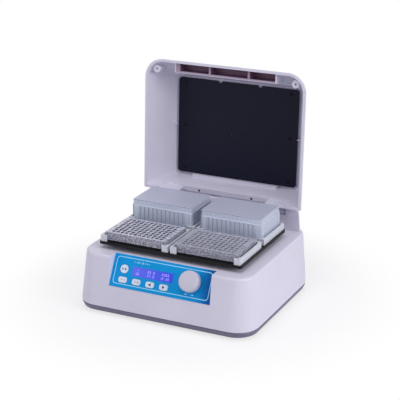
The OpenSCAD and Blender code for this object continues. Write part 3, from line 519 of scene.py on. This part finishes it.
# pale figures lit from behind, a little uneven in patches of about 3 mm
PATCHES = 300.0
lit_figures, tree = fresh("pale lit figures")
place = add(tree, "ShaderNodeTexCoord").outputs["Object"]
flicker = add(tree, "ShaderNodeTexNoise", {"Vector": place}, {"Scale": PATCHES})
level = add(tree, "ShaderNodeMapRange", {"Value": flicker.outputs["Fac"]},
            {"To Min": 0.25, "To Max": 0.4})
lamp_lit = add(tree, "ShaderNodeBsdfPrincipled", {"Emission Strength": level.outputs[0]},
               {"Base Color": linear("#A9A4F4"), "Emission Color": linear("#B4B0FF"),
                "Roughness": 0.3})
add(tree, "ShaderNodeOutputMaterial", {"Surface": lamp_lit.outputs[0]})
# mm: the window's middle, its face off the panel plane, and the lower row and spacing of its figures
LCD_X, LCD_S, LCD_FACE = -19.8, 34.0, 0.62
LOW_ROW, ROW_PITCH = LCD_S - 5.8, 6.8
digits = bmesh.new()
for text, x, row in (("1", -32.0, 1), ("02", -33.6, 0), ("25.0", -10.5, 1), ("37.0", -10.5, 0),
                     ("0300", 18.5, 1), ("12:30", 16.0, 0)):
    line_of_figures(digits, text, LCD_X + x, LOW_ROW + row * ROW_PITCH,
                    pitch=3.8, wide=2.5, tall=4.4, stroke=0.62, h=LCD_FACE)
finished(piece("display_figures", digits, lit_figures), "base")

# green glass-epoxy boards behind the panel, smooth and half glossy
board_epoxy = moulded("green solder-masked glass epoxy", "#0F5B2E", 0.35, grain=1.2, depth=0.3)
paint(board_epoxy, "control_board", "display_module")
# moulded resin: near black with a dull skin
encoder_resin = moulded("black encoder resin", "#2B2C30", 0.45, grain=0.8)
paint(encoder_resin, "encoder_body")
paint(turned, "encoder_plunger", "encoder_shaft")

# ---------------------------------------------------------------------------
# Keys
# A round start key and four long keys, moulded in pale silicone-coated ABS.
# Their marks are printed in grey: figures, and the two setting arrows.
# ---------------------------------------------------------------------------
KEY_FACE = 0.8 + 1.2         # mm: the overlay, and how far the caps stand out of it
KEY_X, KEY_PITCH = -77.0, 28.0                      # mm: the first key, and the row's spacing
KEY_S, START_S = 15.2, 35.0                         # mm up the slope: the row and the start key
# coated caps: smooth and pale, slightly bluer than the housing
key_abs = moulded("pale blue-white ABS key cap", "#D3DDEC", 0.38, grain=0.4, depth=0.05)
for node in ("start_key", "mode_key", "set_key", "left_key", "right_key"):
    dressed(node, key_abs, edge=0.5)
# pad-printed inks: flat and dull on the smooth caps
grey_ink = moulded("grey pad-printed ink", "#5F6C86", 0.5, specular=0.3)
dark_ink = moulded("dark blue pad-printed ink", "#2C4670", 0.5, specular=0.3)
for key, column, art, colour in (
        ("start", 0, "start", grey_ink), ("mode", 0, "1-1", grey_ink), ("set", 1, "1-2", grey_ink),
        ("left", 2, "arrow", dark_ink), ("right", 3, "arrow", dark_ink)):
    ink = bmesh.new()
    x = KEY_X + KEY_PITCH * column
    if art == "start":
        x -= 0.8
        head = [(x - 4.2, START_S - 2.4), (x - 0.2, START_S), (x - 4.2, START_S + 2.4)]
        printed_patch(ink, head, KEY_FACE)
        printed_patch(ink, rectangle(x + 1.2, START_S - 2.0, x + 4.4, START_S + 2.0), KEY_FACE)
    elif art == "arrow":
        way = -1 if key == "left" else 1
        head = [(x - way * 2.3, KEY_S - 3.1), (x + way * 3.0, KEY_S), (x - way * 2.3, KEY_S + 3.1)]
        printed_patch(ink, head[::way], KEY_FACE)
    else:
        line_of_figures(ink, art, x - 5.0, KEY_S - 1.9,
                        pitch=3.7, wide=2.6, tall=3.8, stroke=0.7, h=KEY_FACE)
    finished(piece(f"{key}_mark", ink, colour), f"key_{key}")

# ---------------------------------------------------------------------------
# Knob
# A moulded ABS knob with a broad flat face and a narrow chamfer, pushed on to
# the encoder's shaft.
# ---------------------------------------------------------------------------
# satin ABS: one long soft highlight across the flat face
knob_abs = moulded("satin pale grey ABS knob", "#C3C1D0", 0.42, grain=0.5, depth=0.06)
dressed("control_knob", knob_abs, edge=0.0, smooth=40)

# ---------------------------------------------------------------------------
# Cranks, counterweight and platform
# Five turned steel cranks hold the platform, which circles without turning.
# It is an aluminium plate with a hard black anodised finish.
# ---------------------------------------------------------------------------
for node in ("drive_crank", "idler_front_left", "idler_front_right", "idler_rear_left",
             "idler_rear_right"):
    dressed(node, turned, edge=0.25)
# machined brass: yellow and bright, with fine tool lines
brass = machined("machined brass", "#B99A4E", 0.30, line=0.2, along=(1, 1, 8))
dressed("counterweight", brass, edge=0.3)
# black anodising keeps the plate's fine bead-blasted texture and a dull sheen
anodised = moulded("black anodised aluminium, bead blasted", "#0D0D12", 0.5, grain=0.5, depth=0.2,
                   specular=0.2)
dressed("platform_plate", anodised, edge=0.5)

# ---------------------------------------------------------------------------
# Nest rails and pads
# Two light acetal rails hold each plate by its corners, screwed on from below.
# A black silicone-faced heating pad lies between them.
# ---------------------------------------------------------------------------
# machined acetal: smooth and slightly waxy
acetal = moulded("light grey acetal rail", "#D0D4DC", 0.38, grain=0.5, depth=0.05)
dressed("nest_rails", acetal, edge=0.45)
# silicone sheet: black and dull, with a coarse skin
pad_silicone = moulded("black silicone heating pad", "#17171C", 0.6, grain=1.0, depth=0.3,
                       specular=0.2)
dressed("nest_pads", pad_silicone, edge=0.4)

# ---------------------------------------------------------------------------
# Deep well plates and their mats
# Tall polypropylene plates, translucent and bluish. The walls between the
# wells show through as upright streaks, darker towards the black platform.
# The sides that face left and right carry painted shade.
# ---------------------------------------------------------------------------
PLATFORM_Y, NEST_X, NEST_Y = 141.2, 71.78, 51.94    # mm: the platform's middle, the nests from it
PAD_TOP = 128.1              # mm from the tray's underside to the pads' faces
WELL_PITCH = 9.0             # mm between wells
STREAK = 0.16                # the streaks' swing in brightness at a plate's foot


def well_wave(t, along, crest):
    """A wave along one axis that has a crest at the given place in metres, and one at each well
    pitch from there."""
    shift = add(t, "ShaderNodeMath", {0: along}, {1: crest}, operation="SUBTRACT")
    turn = add(t, "ShaderNodeMath", {0: shift.outputs[0]}, {1: math.tau * 1000 / WELL_PITCH},
               operation="MULTIPLY")
    return add(t, "ShaderNodeMath", {0: turn.outputs[0]}, operation="COSINE").outputs[0]


def translucent(name, x_mid, y_mid):
    """Polypropylene over a dark base, about a plate's middle in metres: paler at the top, with painted
    shade on the sides that face left and right, and the well walls as upright streaks."""
    foot, paler = (PAD_TOP + FOOT) / 1000, 0.034
    m, t = fresh(name)
    place = add(t, "ShaderNodeTexCoord").outputs["Object"]
    split = add(t, "ShaderNodeSeparateXYZ", {0: place})
    height = add(t, "ShaderNodeMapRange", {"Value": split.outputs["Z"]},
                 {"From Min": foot, "From Max": foot + paler}, interpolation_type="SMOOTHSTEP")
    tint = add(t, "ShaderNodeMix", {0: height.outputs[0]}, {6: linear("#CFD7EE"), 7: linear("#D2DAEC")},
               data_type="RGBA")
    waves = [well_wave(t, split.outputs[axis], mid) for axis, mid in (("X", x_mid), ("Y", y_mid))]
    normal = add(t, "ShaderNodeSeparateXYZ", {0: add(t, "ShaderNodeNewGeometry").outputs["Normal"]})
    facing = add(t, "ShaderNodeMath", {0: normal.outputs["X"]}, operation="ABSOLUTE")
    sideways = add(t, "ShaderNodeMath", {0: facing.outputs[0]}, {1: 0.5}, operation="GREATER_THAN")
    wave = add(t, "ShaderNodeMix", {0: sideways.outputs[0], 2: waves[0], 3: waves[1]},
               data_type="FLOAT")
    fade = add(t, "ShaderNodeMapRange", {"Value": height.outputs[0]},
               {"To Min": STREAK, "To Max": STREAK * 0.15})
    swing = add(t, "ShaderNodeMath", {0: wave.outputs[0], 1: fade.outputs[0]}, operation="MULTIPLY")
    # painted shade: the sides that face left and right keep only 0.74 of the tint
    level = add(t, "ShaderNodeMapRange", {"Value": sideways.outputs[0]},
                {"To Min": 1.0, "To Max": 0.74})
    streaks_and_side_shade = add(t, "ShaderNodeMath", {0: swing.outputs[0], 1: level.outputs[0]}, operation="ADD")
    streaked = add(t, "ShaderNodeVectorMath", {0: tint.outputs[2], 1: streaks_and_side_shade.outputs[0]},
                   operation="MULTIPLY")
    skin = add(t, "ShaderNodeTexNoise", {"Vector": place}, {"Scale": 700.0, "Detail": 3.0})
    bump = add(t, "ShaderNodeBump", {"Height": skin.outputs["Fac"]},
               {"Strength": 0.06, "Distance": 0.0002})
    shader = add(t, "ShaderNodeBsdfPrincipled",
                 {"Base Color": streaked.outputs[0], "Normal": bump.outputs[0]},
                 {"Roughness": 0.32, "IOR": 1.49, "Specular IOR Level": 0.5})
    add(t, "ShaderNodeOutputMaterial", {"Surface": shader.outputs[0]})
    return m


def plug_spots(x_mid, y_mid):
    """What dims a mat about a plate's middle in metres: its plugs sit in the wells, half a pitch
    from the middle, so their places show through as a faint grid of grey spots."""
    def spots(t, place):
        split = add(t, "ShaderNodeSeparateXYZ", {0: place})
        waves = [well_wave(t, split.outputs[axis], mid - WELL_PITCH / 2000)
                 for axis, mid in (("X", x_mid), ("Y", y_mid))]
        both = add(t, "ShaderNodeMath", {0: waves[0], 1: waves[1]}, operation="ADD")
        spot = add(t, "ShaderNodeMapRange", {"Value": both.outputs[0]},
                   {"From Min": 0.9, "From Max": 1.6, "To Min": 0.0, "To Max": 0.22})
        return spot.outputs[0], "#7E86A2"
    return spots


for side_name, sx in (("left", -1), ("right", 1)):
    middle = sx * NEST_X / 1000, (PLATFORM_Y + NEST_Y - MIDDLE_Y) / 1000
    # natural polypropylene: milky and bluish, with a waxy shine and painted shade on its left and right
    # sides
    polypropylene = translucent(f"{side_name} plate, natural polypropylene", *middle)
    dressed(f"deep_plate_{side_name}", polypropylene, edge=0.3)
    # clear silicone sheet: a soft grey film with rounded edges
    silicone = moulded(f"{side_name} silicone sealing mat", "#B9BCD0", 0.42, grain=0.7, depth=0.1,
                       dimmed=plug_spots(*middle))
    dressed(f"deep_mat_{side_name}", silicone, edge=0.6)

# ---------------------------------------------------------------------------
# Shallow well plates
# Injection-moulded clear polystyrene plates of 96 wells at 9 mm, with a thin
# skirt. Rims, tube walls and skirt catch the light, with painted glints; the
# pad shows through, and the wells under the deck carry painted shade.
# ---------------------------------------------------------------------------
COLUMNS, ROWS = 12, 8
FIELD_X, FIELD_Y = COLUMNS * WELL_PITCH, ROWS * WELL_PITCH
PLATE_L, PLATE_W, PLATE_H = 127.76, 85.48, 14.35    # mm: a plate's length, width and height
RIM = 0.4                    # mm that the wells' rims stand over the deck
DECK, DECK_THICK = PLATE_H - RIM, 1.0               # mm
SKIRT_OUT, SKIRT_TALL, SHELL = 2.0, 2.5, 1.3        # mm: the skirt, and the shell's thickness
SKIRT_R, WALL_R = 3.2, 2.4   # mm: the corners of the skirt and of the wall over it
WELL_R, WELL_DEEP, SIDES = 3.43, 10.7, 16           # a well's radius and depth in mm, and its sides


def set_out(name, one, material, columns, rows, pitch):
    """Repeats the mesh of one at the crossings of a grid about the origin, with geometry nodes."""
    tree = bpy.data.node_groups.new(name, "GeometryNodeTree")
    for label, kind in (("One piece", "NodeSocketGeometry"), ("Columns", "NodeSocketInt"),
                        ("Rows", "NodeSocketInt"), ("Pitch", "NodeSocketFloat"),
                        ("Finish", "NodeSocketMaterial")):
        tree.interface.new_socket(label, in_out="INPUT", socket_type=kind)
    tree.interface.new_socket("Set of pieces", in_out="OUTPUT", socket_type="NodeSocketGeometry")
    given = add(tree, "NodeGroupInput")
    spans = []
    for count in ("Columns", "Rows"):
        gaps = add(tree, "ShaderNodeMath", {0: given.outputs[count]}, {1: 1.0}, operation="SUBTRACT")
        spans.append(add(tree, "ShaderNodeMath", {0: gaps.outputs[0], 1: given.outputs["Pitch"]},
                         operation="MULTIPLY").outputs[0])
    grid = add(tree, "GeometryNodeMeshGrid", {"Size X": spans[0], "Size Y": spans[1],
                                              "Vertices X": given.outputs["Columns"],
                                              "Vertices Y": given.outputs["Rows"]})
    spots = add(tree, "GeometryNodeMeshToPoints", {"Mesh": grid.outputs["Mesh"]})
    copies = add(tree, "GeometryNodeInstanceOnPoints", {"Points": spots.outputs["Points"],
                                                        "Instance": given.outputs["One piece"]})
    real = add(tree, "GeometryNodeRealizeInstances", {"Geometry": copies.outputs["Instances"]})
    done = add(tree, "GeometryNodeSetMaterial",
               {"Geometry": real.outputs[0], "Material": given.outputs["Finish"]})
    add(tree, "NodeGroupOutput", {"Set of pieces": done.outputs[0]})
    o = bpy.data.objects.new(name, one)
    scene.collection.objects.link(o)
    modifier = o.modifiers.new(name, "NODES")
    modifier.node_group = tree
    sizes = {"Columns": columns, "Rows": rows, "Pitch": pitch / 1000, "Finish": material}
    for item in tree.interface.items_tree:
        if item.name in sizes:
            modifier[item.identifier] = sizes[item.name]
    shape = bpy.data.meshes.new_from_object(o.evaluated_get(bpy.context.evaluated_depsgraph_get()))
    shape.name = name
    bpy.data.objects.remove(o)
    return shape


def clear_plastic(name, tint, wall, glint, deck=None):
    """Clear polystyrene seen as thin walls. wall is the share that a wall hides of what lies behind
    it, and glint what it hides more in painted glints: random patches of 2 to 4 mm, paler and more
    opaque, with darker grey between them. deck is the middle of a plate's deck in metres: above it
    the plastic hides more and looks bright, and the wells below are painted dark as shade."""
    m, t = fresh(name)
    place = add(t, "ShaderNodeTexCoord").outputs["Object"]
    flow = add(t, "ShaderNodeTexNoise", {"Vector": place},
               {"Scale": 300.0, "Detail": 3.0, "Roughness": 0.6})
    bump = add(t, "ShaderNodeBump", {"Height": flow.outputs["Fac"]},
               {"Strength": 0.15, "Distance": 0.0004})
    # painted glints: the noise makes patches paler and more opaque, with darker grey between them
    spark = add(t, "ShaderNodeMapRange", {"Value": flow.outputs["Fac"]},
                {"From Min": 0.38, "From Max": 0.68}).outputs[0]
    cover = add(t, "ShaderNodeMapRange", {"Value": spark},
                {"To Min": wall, "To Max": wall + glint}).outputs[0]
    colour = add(t, "ShaderNodeMix", {0: spark}, {6: linear("#9C9EB2"), 7: linear(tint)},
                 data_type="RGBA").outputs[2]
    if deck:
        x_mid, y_mid, deck_z = deck
        split = add(t, "ShaderNodeSeparateXYZ", {0: place})
        well_shade_mask = add(t, "ShaderNodeMath", {0: split.outputs["Z"]}, {1: deck_z - 0.0004},
                     operation="LESS_THAN").outputs[0]
        for axis, mid, wide in (("X", x_mid, FIELD_X), ("Y", y_mid, FIELD_Y)):
            away = add(t, "ShaderNodeMath", {0: split.outputs[axis]}, {1: mid}, operation="SUBTRACT")
            far = add(t, "ShaderNodeMath", {0: away.outputs[0]}, operation="ABSOLUTE")
            near = add(t, "ShaderNodeMath", {0: far.outputs[0]}, {1: wide / 2000},
                       operation="LESS_THAN")
            well_shade_mask = add(t, "ShaderNodeMath", {0: well_shade_mask, 1: near.outputs[0]},
                         operation="MULTIPLY").outputs[0]
        # painted shade: the wells under the deck, within the field, are dark grey
        colour = add(t, "ShaderNodeMix", {0: well_shade_mask, 6: colour}, {7: linear("#4A4C5E")},
                     data_type="RGBA").outputs[2]
        upper = add(t, "ShaderNodeMapRange", {"Value": split.outputs["Z"]},
                    {"From Min": deck_z - 0.0001, "From Max": deck_z, "To Min": 0.0, "To Max": 0.5})
        cover = add(t, "ShaderNodeMath", {0: cover, 1: upper.outputs[0]},
                    operation="ADD", use_clamp=True).outputs[0]
    shader = add(t, "ShaderNodeBsdfPrincipled",
                 {"Base Color": colour, "Normal": bump.outputs[0], "Alpha": cover},
                 {"Roughness": 0.14, "IOR": 1.59})
    add(t, "ShaderNodeOutputMaterial", {"Surface": shader.outputs[0]})
    return m


def loop_of(bm, points, z):
    """A closed row of vertices in mm and the edges between them."""
    row = [bm.verts.new(Vector((x, y, z)) / 1000) for x, y in points]
    return row, [bm.edges.new((row[i], row[(i + 1) % len(row)])) for i in range(len(row))]


def skirted_shell(bm):
    """The plate's skirt, wall and flat border, open in the middle where the field of wells goes."""
    step = WELL_PITCH / 4        # the points along a well's square
    field = [(-FIELD_X / 2 + i * step, -FIELD_Y / 2) for i in range(round(FIELD_X / step))]
    field += [(FIELD_X / 2, -FIELD_Y / 2 + i * step) for i in range(round(FIELD_Y / step))]
    field += [(-x, -y) for x, y in field]
    feet = []
    for inset, deck in ((0.0, DECK), (SHELL, DECK - DECK_THICK)):
        skirt, wall = (
            rounded(-PLATE_L / 2 + out, -PLATE_W / 2 + out, PLATE_L / 2 - out, PLATE_W / 2 - out, r, 4)
            for out, r in ((inset, SKIRT_R - inset), (SKIRT_OUT + inset, WALL_R - inset)))
        ledge = SKIRT_TALL - inset * 0.8
        rows = [loop_of(bm, skirt, 0.0)[0], loop_of(bm, skirt, ledge)[0], loop_of(bm, wall, ledge)[0]]
        top, top_edges = loop_of(bm, wall, deck)
        rows.append(top)
        for low, high in zip(rows, rows[1:]):
            for i in range(len(low)):
                bm.faces.new((low[i], low[(i + 1) % len(low)], high[(i + 1) % len(low)], high[i]))
        hole_edges = loop_of(bm, field, deck)[1]
        bmesh.ops.triangle_fill(bm, use_beauty=True, edges=top_edges + hole_edges)
        feet.append(rows[0])
    outer, inner = feet
    for i in range(len(outer)):
        bm.faces.new((outer[i], outer[(i + 1) % len(outer)], inner[(i + 1) % len(inner)], inner[i]))


def well_tile(bm):
    """One well with its square of the deck's face and underside, about the well's axis, with the
    rims' height as its zero."""
    square = []
    for k in range(SIDES):
        x, y = WELL_PITCH / 2, -WELL_PITCH / 2 + k % 4 * WELL_PITCH / 4
        for _ in range(k // 4):
            x, y = -y, x
        square.append((x, y))
    angles = [math.radians(-45) + math.tau * k / SIDES for k in range(SIDES)]
    r, top, underside = WELL_R, DECK - PLATE_H, DECK - PLATE_H - DECK_THICK
    for deck, rings in (
            (top, ((r + 0.62, 0.0), (r + 0.50, RIM), (r + 0.12, RIM), (r, 0.0),
                   (r - 0.25, RIM - WELL_DEEP))),
            (underside, ((r + 0.70, 0.0), (r + 0.55, 0.9 - WELL_DEEP)))):
        rows = [[bm.verts.new(Vector((x, y, deck)) / 1000) for x, y in square]]
        for radius, z in rings:
            rows.append([bm.verts.new(Vector((radius * math.cos(a), radius * math.sin(a), deck + z))
                                      / 1000) for a in angles])
        for low, high in zip(rows, rows[1:]):
            for k in range(SIDES):
                bm.faces.new((low[k], low[(k + 1) % SIDES], high[(k + 1) % SIDES], high[k]))
        bm.faces.new(rows[-1])


for side_name, sx, tint in (("left", -1, "#E6E7F4"), ("right", 1, "#D2D3E2")):
    # clear polystyrene: see-through walls, bright rims, painted glints, and wells painted dark as shade
    polystyrene = clear_plastic(f"{side_name} plate, clear polystyrene", tint, wall=0.34, glint=0.3,
                                deck=(sx * NEST_X / 1000, (PLATFORM_Y - NEST_Y - MIDDLE_Y) / 1000,
                                      (PAD_TOP + FOOT + DECK - 0.1) / 1000))
    tile = bmesh.new()
    well_tile(tile)
    one = bpy.data.meshes.new("well")
    tile.to_mesh(one)
    tile.free()
    wells = set_out(f"wells_{side_name}", one, polystyrene, COLUMNS, ROWS, WELL_PITCH)
    plate = bmesh.new()
    plate.from_mesh(wells)
    bmesh.ops.translate(plate, vec=(0, 0, PLATE_H / 1000), verts=plate.verts)
    skirted_shell(plate)
    bmesh.ops.remove_doubles(plate, verts=plate.verts, dist=MERGED)
    bmesh.ops.translate(plate, vec=at(sx * NEST_X, PLATFORM_Y - NEST_Y, PAD_TOP), verts=plate.verts)
    finished(piece(f"well_plate_{side_name}_clear", plate, polystyrene, smooth=35),
             f"shallow_{side_name}", f"well_plate_{side_name}")

# ---------------------------------------------------------------------------
# Loose cover
# A thin moulded polystyrene lid that lies loose on the right-hand shallow
# plate, with its rim over the plate's wall.
# ---------------------------------------------------------------------------
# clear polystyrene: almost unseen, with painted white glints in random patches
cover_clear = clear_plastic("cover, clear polystyrene", "#F2F3FB", wall=0.03, glint=0.34)
dressed("plate_cover", cover_clear, edge=0.3)

# ---------------------------------------------------------------------------
# Lid
# A deep drafted ABS hood on two hinge arms. Its front wall carries a grip
# block with three finger pockets, and bosses for the inner panel's screws.
# ---------------------------------------------------------------------------
# mm from the part's origin, with the lid open: the pockets' lowest and highest, half their width,
# their mouth, the depth at which the shade is full, their floor, and the shade's soft edge
POCKET_LOW, POCKET_HIGH, POCKET_HALF = 394.5, 415.0, 103.5
POCKET_MOUTH, POCKET_SHADE, POCKET_FLOOR, SOFT = 100.5, 106.5, 128.5, 0.5


def finger_pockets(t, place):
    """The deep pockets hold brown-violet shade, as far as their floor and not on the lid's outside,
    which faces away from the opening."""
    split = add(t, "ShaderNodeSeparateXYZ", {0: place})
    aside = add(t, "ShaderNodeMath", {0: split.outputs["X"]}, operation="ABSOLUTE").outputs[0]
    normal = add(t, "ShaderNodeSeparateXYZ", {0: add(t, "ShaderNodeTexCoord").outputs["Normal"]})
    limits = [add(t, "ShaderNodeMapRange", {"Value": way},
                  {"From Min": start / 1000, "From Max": full / 1000})
              for way, start, full in ((split.outputs["Z"], POCKET_LOW, POCKET_LOW + SOFT),
                                       (split.outputs["Z"], POCKET_HIGH, POCKET_HIGH - SOFT),
                                       (split.outputs["Y"], POCKET_MOUTH, POCKET_SHADE),
                                       (aside, POCKET_HALF, POCKET_HALF - SOFT))]
    limits += [add(t, "ShaderNodeMath", {0: way}, {1: most}, operation="LESS_THAN")
               for way, most in ((split.outputs["Y"], POCKET_FLOOR / 1000), (normal.outputs["Y"], 0.2))]
    shade = limits[0].outputs[0]
    for limit in limits[1:]:
        shade = add(t, "ShaderNodeMath", {0: shade, 1: limit.outputs[0]},
                    operation="MULTIPLY").outputs[0]
    return shade, "#74506E"


# satin ABS like the housing's, with shade in its deep pockets
lid_abs = moulded("lid, pale lavender-grey ABS", "#D5D2E2", 0.44, grain=0.7, depth=0.08,
                  dimmed=finger_pockets)
dressed("lid_shell", lid_abs, edge=0.5)
# plain ABS sheet: a shade greyer and duller than the shell
liner_abs = moulded("grey ABS liner", "#BDB9CB", 0.5)
dressed("lid_liner", liner_abs, edge=0.3)
# open-cell foam behind the heater, cream and dull
foam = moulded("cream open-cell foam", "#E4D9B4", 0.9, grain=2.0, depth=0.8, specular=0.2,
               variation=0.08)
paint(foam, "lid_insulation")
# baked black coat on aluminium: very dark, slightly blue, with a wide soft sheen
heater_coat = moulded("black baked coat on the heater plate", "#0E1024", 0.5, grain=0.6, depth=0.15,
                      specular=0.14)
dressed("lid_heater_plate", heater_coat, edge=0.4)
# black oxide: screw heads hardly lighter than the plate
black_screw = moulded("black oxide screw", "#08080C", 0.5, grain=0.3, specular=0.1)
dressed("heater_screws", black_screw, edge=0.3)
dressed("corner_screws", black_screw, edge=0.2)
paint(turned, "hinge_pins")
